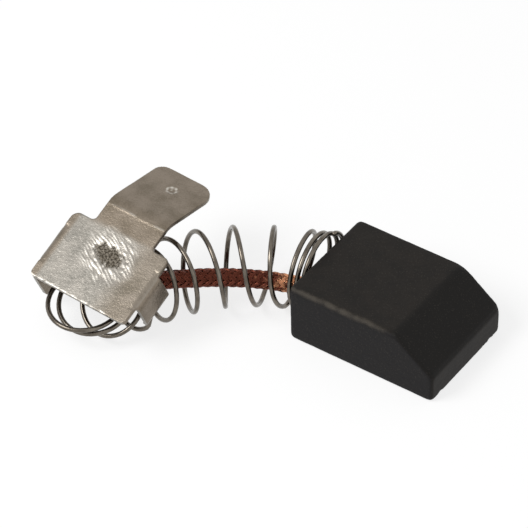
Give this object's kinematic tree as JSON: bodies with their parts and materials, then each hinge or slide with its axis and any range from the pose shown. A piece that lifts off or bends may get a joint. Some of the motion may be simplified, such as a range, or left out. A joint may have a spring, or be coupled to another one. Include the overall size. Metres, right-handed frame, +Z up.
{
  "type": "motor carbon brush",
  "caption": "Motor carbon brush: bevelled carbon block, copper braid inside a compression spring, and a folded sheet-metal terminal cap with a push-on blade.",
  "frame": {"origin": "middle of the carbon block's bottom wide face, which lies on the table", "axes": "+X from the block's rear face to its toe, along the way the brush slides; +Y across the block; +Z up from the face it lies on"},
  "size_m": [0.0353, 0.0233, 0.0093],
  "materials": {
    "carbon": "pressed carbon, matte",
    "copper_powder": "tamped copper powder, dull",
    "copper_wire": "braided fine wire, satin",
    "spring_steel": "drawn wire, bright",
    "tinned_sheet": "tinned sheet, frosted"
  },
  "bodies": {
    "root": {"carbon_block": "carbon", "tamping_plug": "copper_powder", "copper_braid": "copper_wire", "coil_spring": "spring_steel", "terminal_cap": "tinned_sheet"}
  },
  "joints": []
}
